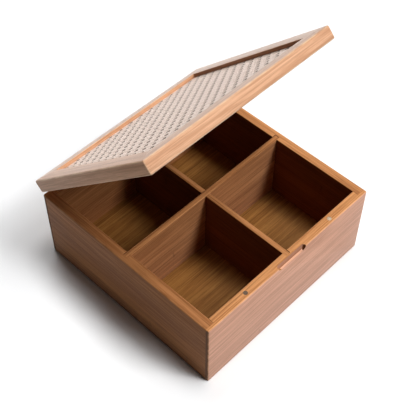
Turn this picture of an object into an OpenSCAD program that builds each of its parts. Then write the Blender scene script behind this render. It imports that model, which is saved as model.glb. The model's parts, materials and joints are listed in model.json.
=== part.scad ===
// Square bamboo box with four compartments and a hinged lid filled with cane webbing.
// The origin is the middle of the underside; the front, with the finger notch, faces -Y.

/* [Box] */
// Outside width of the box, left to right
box_w = 200; // [170:1:260]
// Outside depth of the box, front to back
box_d = 200; // [170:1:260]
// Height of the box walls
box_h = 79; // [60:1:110]
// Thickness of the box walls
wall_t = 9; // [8.5:0.5:13]
// Radius of the eased outer edges
ease_r = 1.5; // [0.5:0.25:2.5]

/* [Corner joints] */
// Thickness of the tongue that covers the end of a side wall
corner_tongue_t = 3.5; // [2.5:0.25:5]

/* [Floor] */
// Thickness of the floor board
floor_t = 9; // [7.5:0.5:14]
// Thickness of the tongue round the floor board
floor_tongue_t = 4; // [2.5:0.25:4.5]
// Height of the underside of that tongue above the table
floor_tongue_z = 3; // [1.5:0.25:3.5]
// Depth of the groove in the walls for that tongue
floor_groove_d = 4; // [2:0.25:5]

/* [Dividers] */
// Thickness of the two dividers
divider_t = 5; // [3:0.25:8]
// Depth of the housings in the walls for the dividers
housing_d = 4; // [2:0.25:5]
// How far the dividers stay below the rim
divider_drop = 0.5; // [0:0.25:10]

/* [Finger notch] */
// Length of the finger notch along the front edge
notch_w = 35; // [24:1:60]
// Radius of the scoop, which is also its depth and height
notch_r = 3.5; // [3:0.25:5]
// Radius of the scoop's ends seen from the front
notch_end_r = 6; // [5:0.25:9]
// Radius of the scoop's ends seen from above
notch_plan_r = 3; // [1:0.25:3]

/* [Magnets] */
// Diameter of the disc magnets
magnet_d = 4; // [3:0.5:6]
// Thickness of the disc magnets
magnet_t = 3; // [2:0.5:5]
// Distance of each magnet from the middle of the front wall
magnet_x = 53; // [30:1:70]

/* [Lid] */
// Thickness of the lid frame
lid_t = 12; // [11:0.5:18]
// Width of the lid rails
rail_w = 16; // [13:0.5:24]
// Depth of the recess above the cane
recess_d = 3.5; // [1.5:0.25:5]
// Thickness of the backing panel under the cane
backing_t = 3; // [2:0.25:5]
// Depth of the groove in the rails that holds panel and cane
panel_groove_d = 4; // [2:0.25:6]
// Gap between the closed lid and the rim
lid_gap = 0.3; // [0.2:0.05:1]
// Angle by which the lid stands open
lid_open = 43.7; // [0:0.1:180]

/* [Cane] */
// Thickness of the cane webbing
cane_t = 0.8; // [0.5:0.1:1.5]
// Distance from one gap to the next along the diagonal strands
cane_pitch = 8.9; // [8.8:0.1:14]
// Width of a gap, measured square to its sides
cane_gap = 4; // [2:0.1:6]
// Solid border of the webbing inside the rails, left and right
cane_margin_x = 5; // [3:0.5:20]
// Solid border of the webbing inside the rails, front and back
cane_margin_y = 11; // [3:0.5:20]

/* [Hinges] */
// Distance of each hinge from the middle of the back wall
hinge_x = 60; // [30:1:64]
// Length of a hinge
hinge_l = 22; // [16:1:34]
// Thickness of a hinge leaf
leaf_t = 1; // [0.7:0.1:1.5]
// Width of the leaf that lies on the wood
leaf_w = 7.6; // [6:0.1:8]
// Length of the middle knuckle
knuckle_l = 8; // [5:0.5:10]
// Outside radius of the knuckles
knuckle_r = 1.6; // [1.4:0.05:2.2]
// Radius of the hinge pins
pin_r = 0.75; // [0.6:0.05:0.9]
// Radius of the riveted pin ends
pin_head_r = 1.15; // [1:0.05:1.4]
// Thickness of the riveted pin ends
pin_head_t = 0.5; // [0.3:0.1:1]

/* [Screws] */
// Radius of the screw shank
screw_r = 0.9; // [0.7:0.05:1.1]
// Radius of the countersunk head
screw_head_r = 1.7; // [1.5:0.05:2]
// Length of a screw
screw_l = 7; // [4:0.5:8]
// Distance of each screw from the middle of its leaf
screw_x = 7; // [5:0.25:7.5]
// Width of the slot in the screw head
screw_slot_w = 0.4; // [0.3:0.05:0.6]

/* [Fits] */
// Gap all round a board's tongue or edge in its groove
glue_gap = 0.05; // [0.02:0.01:0.15]
// Gap round a magnet or a screw in its hole
hole_gap = 0.05; // [0.02:0.01:0.1]
// Gap between a pin and its knuckles
pin_gap = 0.04; // [0.02:0.01:0.08]
// Gap between neighbouring knuckles, and between a knuckle and the wood
knuckle_gap = 0.15; // [0.1:0.05:0.3]

/* [Hidden] */
$fn = 64;
tip = 0.01;
bamboo = [0.84, 0.62, 0.42];
bamboo_pale = [0.86, 0.66, 0.49];
bamboo_dark = [0.66, 0.46, 0.28];
cane_colour = [0.89, 0.81, 0.72];
brass = [0.72, 0.57, 0.3];
steel = [0.7, 0.7, 0.71];

in_w = box_w - 2 * wall_t;
in_d = box_d - 2 * wall_t;
rim_y = box_d / 2 - wall_t / 2;
divider_h = box_h - divider_drop - floor_t;
divider_w = in_w + 2 * (housing_d - glue_gap);
divider_d = in_d + 2 * (housing_d - glue_gap);
lap_z = floor_t + divider_h / 2;

lid_z = box_h + lid_gap;
pivot_y = box_d / 2 + knuckle_r + knuckle_gap;
pivot_z = box_h + lid_gap / 2;
window_w = box_w - 2 * rail_w;
window_d = box_d - 2 * rail_w;
panel_w = window_w + 2 * (panel_groove_d - glue_gap);
panel_d = window_d + 2 * (panel_groove_d - glue_gap);
cane_z = lid_t - recess_d - cane_t;
backing_z = cane_z - backing_t;

bore_r = pin_r + pin_gap;
hole_r = screw_r + hole_gap;
head_r = screw_head_r + hole_gap;
pocket_r = magnet_d / 2 + hole_gap;

// A rectangle about the origin with round corners
module round_rect(w, d, r) {
    square([w - 2 * r, d], center = true);
    square([w, d - 2 * r], center = true);
    for (x = [-1, 1])
        for (y = [-1, 1])
            translate([x * (w / 2 - r), y * (d / 2 - r)])
                circle(r);
}

// A block on the origin whose twelve edges are eased by r
module eased_block(w, d, h, r) {
    intersection() {
        linear_extrude(h)
            round_rect(w, d, r);
        translate([0, d / 2 + 1, h / 2])
            rotate([90, 0, 0])
                linear_extrude(d + 2)
                    round_rect(w, h, r);
        translate([-w / 2 - 1, 0, h / 2])
            rotate([90, 0, 90])
                linear_extrude(w + 2)
                    round_rect(d, h, r);
    }
}

// Turns what is drawn on the closed lid about the hinge pins
module on_lid() {
    translate([0, pivot_y, pivot_z])
        rotate([-lid_open, 0, 0])
            translate([0, -pivot_y, lid_z - pivot_z])
                children();
}

// Room in every wall for the tongue of the floor board
module floor_groove() {
    w = in_w + 2 * floor_groove_d;
    d = in_d + 2 * floor_groove_d;
    translate([-w / 2, -d / 2, floor_tongue_z - glue_gap])
        cube([w, d, floor_tongue_t + 2 * glue_gap]);
}

// Housings in the four walls for the ends of the dividers
module divider_housings() {
    t = divider_t + 2 * glue_gap;
    translate([-in_w / 2 - housing_d, -t / 2, floor_t])
        cube([in_w + 2 * housing_d, t, box_h]);
    translate([-t / 2, -in_d / 2 - housing_d, floor_t])
        cube([t, in_d + 2 * housing_d, box_h]);
}

// Wall across the whole width, rabbeted at both ends for the side walls
module end_wall() {
    intersection() {
        eased_block(box_w, box_d, box_h, ease_r);
        difference() {
            translate([-box_w / 2, -box_d / 2, 0])
                cube([box_w, wall_t, box_h]);
            for (s = [-1, 1])
                translate([s * (box_w / 2 - wall_t / 2 + 1), -box_d / 2 + corner_tongue_t + wall_t / 2, box_h / 2])
                    cube([wall_t + 2, wall_t, box_h + 2], center = true);
            floor_groove();
            divider_housings();
        }
    }
}

// Side wall, whose ends lie behind the tongues of the end walls
module side_wall(s) {
    l = box_d - 2 * corner_tongue_t;
    intersection() {
        eased_block(box_w, box_d, box_h, ease_r);
        difference() {
            translate([s * (box_w / 2 - wall_t / 2), 0, box_h / 2])
                cube([wall_t, l, box_h], center = true);
            floor_groove();
            divider_housings();
        }
    }
}

// Scoop in the front edge for a finger
module notch() {
    run = sqrt(notch_r * (2 * notch_end_r - notch_r));
    flat = notch_w / 2 - run;
    corner = notch_w / 2 - notch_plan_r;
    intersection() {
        translate([-notch_w / 2 - 1, -box_d / 2, box_h])
            rotate([0, 90, 0])
                cylinder(h = notch_w + 2, r = notch_r);
        translate([0, -box_d / 2 + wall_t, box_h - notch_r + notch_end_r])
            rotate([90, 0, 0])
                linear_extrude(2 * wall_t) {
                    translate([-flat, -notch_end_r])
                        square([2 * flat, 2 * notch_end_r]);
                    for (s = [-1, 1])
                        translate([s * flat, 0])
                            circle(notch_end_r);
                }
        translate([0, -box_d / 2 + notch_r - notch_plan_r, box_h - 2 * notch_r])
            linear_extrude(4 * notch_r) {
                translate([-notch_w / 2, -2 * notch_r])
                    square([notch_w, 2 * notch_r]);
                translate([-corner, -tip])
                    square([2 * corner, notch_plan_r + tip]);
                for (s = [-1, 1])
                    translate([s * corner, 0])
                        circle(notch_plan_r);
            }
    }
}

module front_wall() {
    color(bamboo)
        difference() {
            end_wall();
            notch();
            for (s = [-1, 1])
                translate([s * magnet_x, -rim_y, box_h - magnet_t])
                    cylinder(h = magnet_t + 1, r = pocket_r);
        }
}

module back_wall() {
    color(bamboo)
        difference() {
            mirror([0, 1, 0])
                end_wall();
            for (s = [-1, 1])
                translate([s * hinge_x, 0, box_h]) {
                    mirror([0, 0, 1])
                        leaf_mortise();
                    leaf_screw_holes();
                }
        }
}

module left_wall() {
    color(bamboo)
        side_wall(-1);
}

module right_wall() {
    color(bamboo)
        side_wall(1);
}

// Floor board flush with the feet of the walls, with a tongue all round
module floor_panel() {
    w = in_w + 2 * (floor_groove_d - glue_gap);
    d = in_d + 2 * (floor_groove_d - glue_gap);
    color(bamboo_dark)
        union() {
            translate([-in_w / 2 + glue_gap, -in_d / 2 + glue_gap, 0])
                cube([in_w - 2 * glue_gap, in_d - 2 * glue_gap, floor_t]);
            translate([-w / 2, -d / 2, floor_tongue_z])
                cube([w, d, floor_tongue_t]);
        }
}

// Divider from the front wall to the back wall, lapped from above at the crossing
module divider_front_to_back() {
    t = divider_t + 2 * glue_gap;
    color(bamboo)
        difference() {
            translate([-divider_t / 2, -divider_d / 2, floor_t])
                cube([divider_t, divider_d, divider_h]);
            translate([-divider_t, -t / 2, lap_z])
                cube([2 * divider_t, t, divider_h]);
        }
}

// Divider from the left wall to the right wall, lapped from below at the crossing
module divider_side_to_side() {
    t = divider_t + 2 * glue_gap;
    color(bamboo)
        difference() {
            translate([-divider_w / 2, -divider_t / 2, floor_t])
                cube([divider_w, divider_t, divider_h]);
            translate([-t / 2, -divider_t, lap_z - divider_h])
                cube([t, 2 * divider_t, divider_h]);
        }
}

module disc_magnet() {
    color(steel)
        cylinder(h = magnet_t, r = magnet_d / 2);
}

module box_magnet(s) {
    translate([s * magnet_x, -rim_y, box_h - magnet_t])
        disc_magnet();
}

module lid_magnet(s) {
    on_lid()
        translate([s * magnet_x, -rim_y, 0])
            disc_magnet();
}

// Mitred rail of length l along X, outer edge on y = 0, inner edge grooved
module mitred_rail(l) {
    difference() {
        linear_extrude(lid_t)
            polygon([[-l / 2, 0], [l / 2, 0], [l / 2 - rail_w, rail_w], [-l / 2 + rail_w, rail_w]]);
        translate([-l / 2, rail_w - panel_groove_d, backing_z])
            cube([l, rail_w, backing_t + cane_t]);
    }
}

// One side of the lid frame, turned into its place and eased
module lid_rail(l, out, turn) {
    intersection() {
        eased_block(box_w, box_d, lid_t, ease_r);
        rotate([0, 0, turn])
            translate([0, -out, 0])
                mitred_rail(l);
    }
}

module lid_front_rail() {
    color(bamboo_pale)
        on_lid()
            difference() {
                lid_rail(box_w, box_d / 2, 0);
                for (s = [-1, 1])
                    translate([s * magnet_x, -rim_y, -1])
                        cylinder(h = magnet_t + 1, r = pocket_r);
            }
}

module lid_back_rail() {
    color(bamboo_pale)
        on_lid()
            difference() {
                lid_rail(box_w, box_d / 2, 180);
                for (s = [-1, 1])
                    translate([s * hinge_x, 0, 0]) {
                        leaf_mortise();
                        mirror([0, 0, 1])
                            leaf_screw_holes();
                    }
            }
}

module lid_left_rail() {
    color(bamboo_pale)
        on_lid()
            lid_rail(box_d, box_w / 2, -90);
}

module lid_right_rail() {
    color(bamboo_pale)
        on_lid()
            lid_rail(box_d, box_w / 2, 90);
}

module lid_backing_panel() {
    color(bamboo_dark)
        on_lid()
            translate([-panel_w / 2, -panel_d / 2, backing_z])
                cube([panel_w, panel_d, backing_t]);
}

// Cane webbing as a flat net, its gaps on a lattice that stands on its corner
module cane_webbing() {
    step = cane_pitch / sqrt(2);
    nx = floor((window_w / 2 - cane_margin_x - cane_gap / sqrt(2)) / step);
    ny = floor((window_d / 2 - cane_margin_y - cane_gap / sqrt(2)) / step);
    color(cane_colour)
        on_lid()
            translate([0, 0, cane_z])
                linear_extrude(cane_t)
                    difference() {
                        square([panel_w, panel_d], center = true);
                        for (i = [-nx : nx])
                            for (j = [-ny : ny])
                                if ((i + j) % 2 != 0)
                                    translate([i * step, j * step])
                                        rotate(45)
                                            square(cane_gap, center = true);
                    }
}

// Shallow seat for a hinge leaf, cut up into the wood from z = 0
module leaf_mortise() {
    l = hinge_l + 2 * glue_gap;
    translate([-l / 2, box_d / 2 - leaf_w - glue_gap, -1])
        cube([l, leaf_w + wall_t, leaf_t + 1]);
}

// Holes in the wood for the two screws of a leaf, going down from z = 0
module leaf_screw_holes() {
    for (s = [-1, 1])
        translate([s * screw_x, box_d / 2 - leaf_w / 2, -screw_l - hole_gap])
            cylinder(h = screw_l + 1, r = hole_r);
}

// Leaf with its knuckles from x = from to x = to, the plate below z = 0
module hinge_leaf(spans) {
    axis_y = knuckle_r + knuckle_gap;
    axis_z = lid_gap / 2;
    difference() {
        union() {
            translate([-hinge_l / 2, -leaf_w, -leaf_t])
                cube([hinge_l, leaf_w - knuckle_gap, leaf_t]);
            for (s = spans) {
                translate([s[0], -leaf_w, -leaf_t])
                    cube([s[1] - s[0], leaf_w + axis_y, leaf_t]);
                translate([s[0], axis_y, axis_z])
                    rotate([0, 90, 0])
                        cylinder(h = s[1] - s[0], r = knuckle_r);
            }
        }
        translate([-hinge_l, axis_y, axis_z])
            rotate([0, 90, 0])
                cylinder(h = 2 * hinge_l, r = bore_r);
        for (s = [-1, 1])
            translate([s * screw_x, -leaf_w / 2, -leaf_t]) {
                translate([0, 0, -1])
                    cylinder(h = leaf_t + 2, r = hole_r);
                cylinder(h = leaf_t, r1 = hole_r, r2 = head_r);
            }
    }
}

module box_leaf(s) {
    color(brass)
        translate([s * hinge_x, box_d / 2, box_h])
            hinge_leaf([[-knuckle_l / 2, knuckle_l / 2]]);
}

module lid_leaf(s) {
    inner = knuckle_l / 2 + knuckle_gap;
    color(brass)
        on_lid()
            translate([s * hinge_x, box_d / 2, 0])
                mirror([0, 0, 1])
                    hinge_leaf([[-hinge_l / 2, -inner], [inner, hinge_l / 2]]);
}

// Pin through the three knuckles, riveted over at both ends
module hinge_pin(s) {
    color(brass)
        translate([s * hinge_x, pivot_y, pivot_z])
            rotate([0, 90, 0]) {
                cylinder(h = hinge_l + 2 * pin_gap + 2 * tip, r = pin_r, center = true);
                for (m = [0, 1])
                    mirror([0, 0, m])
                        translate([0, 0, hinge_l / 2 + pin_gap])
                            cylinder(h = pin_head_t, r = pin_head_r);
            }
}

// Countersunk wood screw, its head level with z = 0
module wood_screw() {
    point = 2 * screw_r;
    difference() {
        rotate_extrude()
            polygon([
                [0, 0], [screw_head_r, 0], [screw_r, -leaf_t],
                [screw_r, point - screw_l], [0, -screw_l]
            ]);
        cube([3 * screw_head_r, screw_slot_w, leaf_t], center = true);
    }
}

module leaf_screws() {
    color(brass)
        for (h = [-1, 1])
            for (s = [-1, 1])
                translate([h * hinge_x + s * screw_x, box_d / 2 - leaf_w / 2, 0])
                    wood_screw();
}

module box_hinge_screws() {
    translate([0, 0, box_h])
        leaf_screws();
}

module lid_hinge_screws() {
    on_lid()
        mirror([0, 0, 1])
            leaf_screws();
}

front_wall();
back_wall();
left_wall();
right_wall();
floor_panel();
divider_front_to_back();
divider_side_to_side();
box_magnet(-1);  // box_magnet_left
box_magnet(1);  // box_magnet_right
lid_front_rail();
lid_back_rail();
lid_left_rail();
lid_right_rail();
lid_backing_panel();
cane_webbing();
lid_magnet(-1);  // lid_magnet_left
lid_magnet(1);  // lid_magnet_right
box_leaf(-1);  // hinge_left_box_leaf
lid_leaf(-1);  // hinge_left_lid_leaf
hinge_pin(-1);  // hinge_left_pin
box_leaf(1);  // hinge_right_box_leaf
lid_leaf(1);  // hinge_right_lid_leaf
hinge_pin(1);  // hinge_right_pin
box_hinge_screws();
lid_hinge_screws();
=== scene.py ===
"""Square bamboo box with crossed dividers and a hinged lid of mitred rails round woven cane."""

import json
import math

import bmesh
import bpy
import numpy as np
from bpy.props import FloatProperty, FloatVectorProperty, IntProperty, PointerProperty
from mathutils import Matrix, Vector


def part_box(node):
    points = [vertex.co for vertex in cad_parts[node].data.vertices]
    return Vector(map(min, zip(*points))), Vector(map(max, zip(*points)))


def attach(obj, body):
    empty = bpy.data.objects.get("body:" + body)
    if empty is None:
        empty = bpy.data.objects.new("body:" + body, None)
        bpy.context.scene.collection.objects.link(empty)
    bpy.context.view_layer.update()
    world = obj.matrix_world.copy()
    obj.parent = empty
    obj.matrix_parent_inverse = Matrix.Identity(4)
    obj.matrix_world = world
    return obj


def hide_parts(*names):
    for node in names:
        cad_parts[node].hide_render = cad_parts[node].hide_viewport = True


bl_info = {
    "name": "Bamboo Compartment Box",
    "version": (1, 0, 0),
    "blender": (4, 5, 0),
    "location": "3D View > Sidebar > Box",
    "description": "Boards, cane webbing and hardware of a hinged bamboo box",
    "category": "Object",
}

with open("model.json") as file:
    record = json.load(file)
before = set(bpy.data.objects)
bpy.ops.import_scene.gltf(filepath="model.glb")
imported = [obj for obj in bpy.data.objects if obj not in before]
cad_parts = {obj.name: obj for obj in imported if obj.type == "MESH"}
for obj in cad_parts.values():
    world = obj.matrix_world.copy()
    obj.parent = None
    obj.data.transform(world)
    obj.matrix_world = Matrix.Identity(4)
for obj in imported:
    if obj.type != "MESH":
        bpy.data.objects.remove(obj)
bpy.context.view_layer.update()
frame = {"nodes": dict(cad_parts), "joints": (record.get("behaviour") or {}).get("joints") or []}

MM = 0.001


def frame_size(node, axis):
    """Length of a CAD node's box along one axis, in metres."""
    low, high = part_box(node)
    return high[axis] - low[axis]


# From the frame: where the hinge pins lie, how far the lid stands open, half the box's outer and
# inner width and depth, its height, and the thickness of its walls.
HINGE = frame["joints"][0]
PIVOT = np.array(HINGE["pos_m"], float)
LID_OPEN = math.radians(-HINGE["range_deg"][0])
HALF_W = frame_size("front_wall", 0) / 2
HALF_D = (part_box("back_wall")[1][1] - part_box("front_wall")[0][1]) / 2
BOX_H = frame_size("front_wall", 2)
WALL_T = frame_size("front_wall", 1)
INNER_W, INNER_D = HALF_W - WALL_T, HALF_D - WALL_T
# The closed lid's underside, which its hinges hold a little above the rim.
LID_Z = BOX_H + 0.3 * MM

# Room in a joint, and how far a cutting tool stands out of the wood.
ROOM = 0.05 * MM
PAST = 1 * MM
# The floor board's tongue: how far it reaches into the walls, and its underside and top.
FLOOR_TONGUE, TONGUE_LOW, TONGUE_HIGH = 4 * MM, 3 * MM, 7 * MM
# Top of the groove in the rails, above the lid's underside, and how far the cane reaches into it.
LID_GROOVE_TOP, CANE_TUCK = 8.5 * MM, 2.4 * MM
# Radius of the dividers' top edges and of the rails' inner edges.
SOFT_EDGE = 0.6 * MM
# Magnets: distance from the middle, radius and depth of the pocket.
MAGNET_X, MAGNET_HOLE, MAGNET_DEPTH = 53 * MM, 2.05 * MM, 3 * MM
# Hinges: distance from the middle, and half the length, the width and the depth of a leaf's seat.
HINGE_X, SEAT_HALF, SEAT_WIDTH, SEAT_DEPTH = 60 * MM, 11.05 * MM, 7.65 * MM, 1 * MM
# Screws: distance from the leaf's middle and from the back, radius and depth of the hole.
SCREW_X, SCREW_Y, SCREW_HOLE, SCREW_DEPTH = 7 * MM, 3.8 * MM, 0.95 * MM, 7.05 * MM

# The camera's place, and its right, up and backward axes as columns.
CAMERA_PLACE = (-0.3726, -0.3550, 0.6916)
CAMERA_AXES = ((0.69231, 0.55711, -0.45863), (-0.72155, 0.54256, -0.43011),
               (0.00921, 0.62869, 0.7776))
# A long soft light from the front, over the top, to the back: the direction towards each part of
# it, and its share of the key.
SOFTBOXES = (((0.30, -2.40, 1.0), 0.06), ((0.36, -0.75, 1.0), 0.36), ((0.34, -0.40, 1.0), 0.16),
             ((0.17, -0.05, 1.0), 0.24), ((0.20, 0.33, 1.0), 0.18))


def length(name, description, default, least, most):
    """A length that a user may change, given in millimetres."""
    return FloatProperty(name=name, description=description, default=default * MM,
                         min=least * MM, max=most * MM, unit="LENGTH")


def tint(name, description, default):
    """A colour that a user may change."""
    return FloatVectorProperty(name=name, description=description, default=default, size=3,
                               subtype="COLOR", min=0, max=1)


class BoardSizes(bpy.types.PropertyGroup):
    """Sizes of the box's boards"""
    ease: length("Outer Edge", "Radius of the eased outer edges", 1.5, 0.3, 3)
    inner_ease: length("Inner Edge", "Radius of the rim's inner edges", 0.7, 0.1, 1)
    joint_ease: length("Joint Edge", "Radius of the edges that meet in a joint", 0.14, 0.02, 0.4)
    tongue: length("Corner Tongue", "Thickness of the tongue over a side wall's end", 3.5, 2, 6)
    housing: length("Housing Depth", "Depth of the housings for the dividers", 4, 1, 6)
    divider: length("Divider Thickness", "Thickness of the two dividers", 5, 3, 8)
    divider_drop: length("Divider Drop", "How far the dividers stay below the rim", 0.5, 0, 10)
    floor: length("Floor Thickness", "Thickness of the floor board", 9, 5, 14)
    notch: length("Notch Length", "Length of the finger notch", 35, 20, 60)
    notch_depth: length("Notch Depth", "Depth and height of the finger notch", 3.5, 2, 5)


class LidSizes(bpy.types.PropertyGroup):
    """Sizes of the lid"""
    thick: length("Rail Thickness", "Thickness of the lid's rails", 12, 8, 18)
    rail: length("Rail Width", "Width of the lid's rails", 16, 12, 24)
    groove: length("Groove Depth", "Depth of the groove that holds the cane", 4, 2, 6)
    panel_z: length("Panel Height", "Backing panel's underside above the lid's", 4.7, 2, 9)
    panel: length("Panel Thickness", "Thickness of the backing panel", 3, 2, 5)


class CaneSizes(bpy.types.PropertyGroup):
    """Sizes of the cane weave"""
    pitch: length("Hole Pitch", "Distance between neighbouring holes", 8.9, 6, 16)
    strand: length("Strand Width", "Width of one cane strand", 2.4, 1, 4)
    pair: length("Pair Spacing", "Distance between the two strands of a pair", 2.64, 1.2, 6)
    thick: length("Strand Thickness", "Thickness of one cane strand", 0.32, 0.1, 1)
    rise: length("Weave Rise", "How far a strand rises and falls in the weave", 0.31, 0.05, 1)


class FinishColours(bpy.types.PropertyGroup):
    """Colours of the finishes"""
    bamboo: tint("Bamboo", "Colour of the box's bamboo", (0.66, 0.307, 0.121))
    bamboo_lid: tint("Lid Bamboo", "Colour of the lid's bamboo", (0.80, 0.46, 0.275))
    bamboo_floor: tint("Floor Bamboo", "Colour of the floor board's bamboo", (0.36, 0.168, 0.043))
    cane: tint("Cane", "Colour of the cane strands", (1.0, 0.80, 0.69))
    steel: tint("Magnet", "Colour of the bright magnets", (0.40, 0.31, 0.22))
    # The darker magnet colour is a shaded copy of the same metal: painted shade.
    shaded_magnet_steel: tint("Dull Magnet", "Colour of the shade_darkened magnets", (0.115, 0.080, 0.055))
    brass: tint("Brass", "Colour of the hinges and screws", (0.70, 0.48, 0.17))


class StageSettings(bpy.types.PropertyGroup):
    """Camera, lamps and floor"""
    lens: FloatProperty(name="Lens", description="Focal length of the camera", default=78.68,
                        min=20, max=200, unit="CAMERA")
    key: FloatProperty(name="Key Lamp", description="Strength of the soft key light", default=4.18,
                       min=0, max=20)
    sky: FloatProperty(name="Sky", description="Strength of the surrounding light on the object",
                       default=0.02, min=0, max=1)
    board_seed: IntProperty(name="Seed", description="Seed of the small differences between boards",
                            default=7, min=0, max=1000)


def inset_at(radius, height):
    """Inset of an eased edge: r - sqrt(r^2 - (r - h)^2) at a height h below r, nothing above."""
    rest = np.clip(radius - height, 0, None)
    return radius - np.sqrt(np.clip(radius ** 2 - rest ** 2, 0, None))


def ease_levels(radii, steps):
    """Heights at which the eased edges are cut: r (1 - cos a) for equal steps of the angle a."""
    turns = np.linspace(0, math.pi / 2, steps + 1)
    return np.unique(np.round(np.concatenate([r * (1 - np.cos(turns)) for r in set(radii)]), 8))


def ring_at(corners, inset, rounding, arc_steps):
    """Outline at one height. Each side moves inwards by its inset, and neighbouring sides meet
    where p.n1 = c1 + e1 and p.n2 = c2 + e2. The corner is then rounded with a circle of radius
    R - min(e1, e2) that touches both sides."""
    side = np.roll(corners, -1, 0) - corners
    side /= np.linalg.norm(side, axis=1)[:, None]
    normal = np.stack([-side[:, 1], side[:, 0]], 1)
    reach = np.einsum("ij,ij->i", corners, normal) + inset
    n1, n2 = np.roll(normal, 1, 0), normal
    c1, c2 = np.roll(reach, 1), reach
    det = n1[:, 0] * n2[:, 1] - n1[:, 1] * n2[:, 0]
    meet = np.stack([c1 * n2[:, 1] - c2 * n1[:, 1], n1[:, 0] * c2 - n2[:, 0] * c1], 1)
    meet /= det[:, None]
    least = np.minimum(np.roll(inset, 1), inset)
    radius = np.where(rounding > 0, np.maximum(rounding - least, 1e-6), 0)
    turn = np.arctan2(det, np.einsum("ij,ij->i", n1, n2))
    half = np.tan(np.abs(turn) / 2)
    centre = meet - np.roll(side, 1, 0) * (radius * half)[:, None] + n1 * radius[:, None]
    start = np.arctan2(-n1[:, 1], -n1[:, 0])
    angle = start[:, None] + turn[:, None] * np.linspace(0, 1, arc_steps + 1)[None, :]
    arc = centre[:, None, :] + radius[:, None, None] * np.stack([np.cos(angle), np.sin(angle)], 2)
    return arc.reshape(-1, 2)


def rectangle(x0, y0, x1, y1):
    """Corners of a rectangle, counter-clockwise."""
    return [(x0, y0), (x1, y0), (x1, y1), (x0, y1)]


def swung(co, angle):
    """Turns points about the hinge pins: y cos a + z sin a, and z cos a - y sin a. The angle
    LID_OPEN takes the closed lid to where it stands."""
    c, s = math.cos(angle), math.sin(angle)
    y, z = co[:, 1] - PIVOT[1], co[:, 2] - PIVOT[2]
    return np.stack([co[:, 0], y * c + z * s + PIVOT[1], z * c - y * s + PIVOT[2]], 1)


def mesh_object(name, co, faces, merge=True):
    """An object at the origin with these points and faces, its doubles merged if merge says so."""
    mesh = bpy.data.meshes.new(name)
    mesh.from_pydata(np.asarray(co).tolist(), [], faces)
    mesh.update()
    obj = bpy.data.objects.new(name, mesh)
    bpy.context.scene.collection.objects.link(obj)
    if merge:
        merge_doubles(obj)
    return obj


def read_values(items, key, width=3):
    """One value of every item of a mesh, such as each point's place, as the rows of an array."""
    out = np.empty(len(items) * width)
    items.foreach_get(key, out)
    return out.reshape(-1, width)


def smooth_faces(mesh, angle):
    """Shades the mesh smooth, with sharp edges above an angle in degrees."""
    mesh.polygons.foreach_set("use_smooth", np.ones(len(mesh.polygons), bool))
    mesh.set_sharp_from_angle(angle=math.radians(angle))


def eased_prism(name, corners, low, high, rounding, z0, z1, axes=(0, 1, 2), steps=5, arc_steps=4):
    """Block over an outline: S(u, v) is the outline at u, inset at the height v by the eased edges.
    low and high hold each side's edge radius at the bottom and the top. Its axes are laid along
    other ones, such as (1, 2, 0) for Y, Z, X, and its faces turned round if that mirrors it."""
    corners = np.array(corners, float)
    low, high = np.broadcast_to(low, len(corners)), np.broadcast_to(high, len(corners))
    rounding = np.broadcast_to(rounding, len(corners)).astype(float)
    levels = [(z0 + h, low, h) for h in ease_levels(low, steps)]
    levels += [(z1 - h, high, h) for h in ease_levels(high, steps)[::-1]]
    rings = [ring_at(corners, inset_at(radii, h), rounding, arc_steps) for _, radii, h in levels]
    count = len(rings[0])
    flat = np.concatenate([np.column_stack([ring, np.full(count, level[0])])
                           for ring, level in zip(rings, levels)])
    co = np.empty_like(flat)
    co[:, list(axes)] = flat
    at = np.arange(count)
    nxt = (at + 1) % count
    faces = []
    for k in range(len(rings) - 1):
        a, b = k * count, (k + 1) * count
        faces += np.stack([a + at, a + nxt, b + nxt, b + at], 1).tolist()
    faces.append(at[::-1].tolist())
    faces.append((at + (len(rings) - 1) * count).tolist())
    if np.linalg.det(np.eye(3)[list(axes)]) < 0:
        faces = [face[::-1] for face in faces]
    return mesh_object(name, co, faces)


def turn_about_z(obj, degrees):
    """Turns a mesh about Z by right angles: x cos a - y sin a, and x sin a + y cos a."""
    co = read_values(obj.data.vertices, "co")
    c, s = round(math.cos(math.radians(degrees))), round(math.sin(math.radians(degrees)))
    co = np.stack([co[:, 0] * c - co[:, 1] * s, co[:, 0] * s + co[:, 1] * c, co[:, 2]], 1)
    obj.data.vertices.foreach_set("co", co.ravel())


def merge_doubles(obj, distance=2e-7):
    """Merges points closer than this and drops faces that have shrunk to nothing."""
    bm = bmesh.new()
    bm.from_mesh(obj.data)
    bmesh.ops.remove_doubles(bm, verts=bm.verts, dist=distance)
    bmesh.ops.dissolve_degenerate(bm, edges=bm.edges, dist=distance)
    bm.to_mesh(obj.data)
    bm.free()


def apply_modifiers(obj):
    """Puts the result of the object's modifiers into its mesh."""
    graph = bpy.context.evaluated_depsgraph_get()
    mesh = bpy.data.meshes.new_from_object(obj.evaluated_get(graph))
    old = obj.data
    obj.modifiers.clear()
    obj.data = mesh
    bpy.data.meshes.remove(old)


def combine(obj, tools, operation="DIFFERENCE"):
    """Cuts the tools out of the object, or joins them to it, and removes them."""
    for tool in tools:
        cut = obj.modifiers.new("cut", "BOOLEAN")
        cut.operation = operation
        cut.solver = "EXACT"
        cut.object = tool
        apply_modifiers(obj)
        bpy.data.objects.remove(tool)


def prism_tool(plan, z0, z1, axes=(0, 1, 2)):
    """Cutting tool with sharp edges over any outline."""
    return eased_prism("tool", plan, 0, 0, 0, z0, z1, axes, 1, 1)


def block(x0, x1, y0, y1, z0, z1):
    """Plain block as a cutting tool."""
    return prism_tool(rectangle(x0, y0, x1, y1), z0, z1)


def round_tool(x, y, radius, z0, z1, count=40):
    """Round cutting tool along Z: radius times (cos a, sin a) about a point."""
    a = np.arange(count) * math.tau / count
    return prism_tool(np.stack([x + radius * np.cos(a), y + radius * np.sin(a)], 1), z0, z1)


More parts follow.
